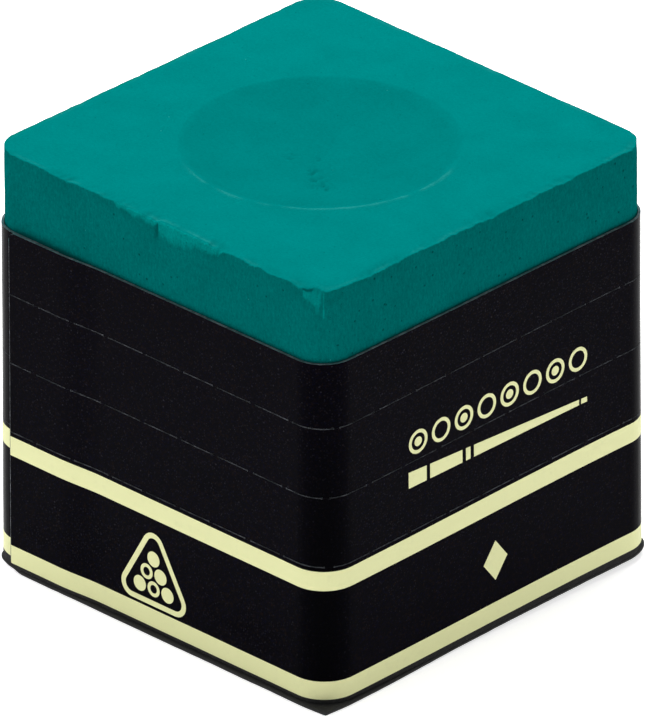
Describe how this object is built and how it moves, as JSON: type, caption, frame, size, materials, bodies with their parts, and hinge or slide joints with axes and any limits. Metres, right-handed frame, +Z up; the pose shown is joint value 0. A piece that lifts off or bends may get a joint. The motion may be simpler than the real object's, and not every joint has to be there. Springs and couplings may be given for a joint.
{
  "type": "cue chalk cube",
  "caption": "Cube of pressed cue chalk with a shallow dish for the cue tip, a square base label, and a wound side label whose perforated strips peel off from a seam",
  "frame": {"origin": "centre of the underside, on the surface that the cube stands on", "axes": "+Z up, out of the dished top; -Y towards the front face, which the label's outer end lies on; +X towards the face on its right, seen from the front"},
  "size_m": [0.0226, 0.0226, 0.022],
  "materials": {
    "chalk": "dry matt pressed chalk, blue-green",
    "printed_label": "satin film over black print with pale yellow lines",
    "base_label": "matt black card"
  },
  "bodies": {
    "cube": {"chalk_block": "chalk", "base_label": "base_label", "label_band": "printed_label", "tear_strip_lower_run": "printed_label", "tear_strip_middle_run": "printed_label", "tear_strip_top_run": "printed_label"},
    "lower_tab": {"tear_strip_lower_tab": "printed_label"},
    "middle_tab": {"tear_strip_middle_tab": "printed_label"},
    "top_tab": {"tear_strip_top_tab": "printed_label"}
  },
  "joints": [
    {"name": "lower_tab_peel", "type": "hinge", "parent": "cube", "child": "lower_tab", "pos_m": [0.0094, -0.01114, 0.00931], "axis": [0, 0, 1], "range_deg": [0, 150]},
    {"name": "middle_tab_peel", "type": "hinge", "parent": "cube", "child": "middle_tab", "pos_m": [0.0094, -0.01114, 0.01295], "axis": [0, 0, 1], "range_deg": [0, 150]},
    {"name": "top_tab_peel", "type": "hinge", "parent": "cube", "child": "top_tab", "pos_m": [0.0094, -0.01114, 0.01649], "axis": [0, 0, 1], "range_deg": [0, 150]}
  ]
}
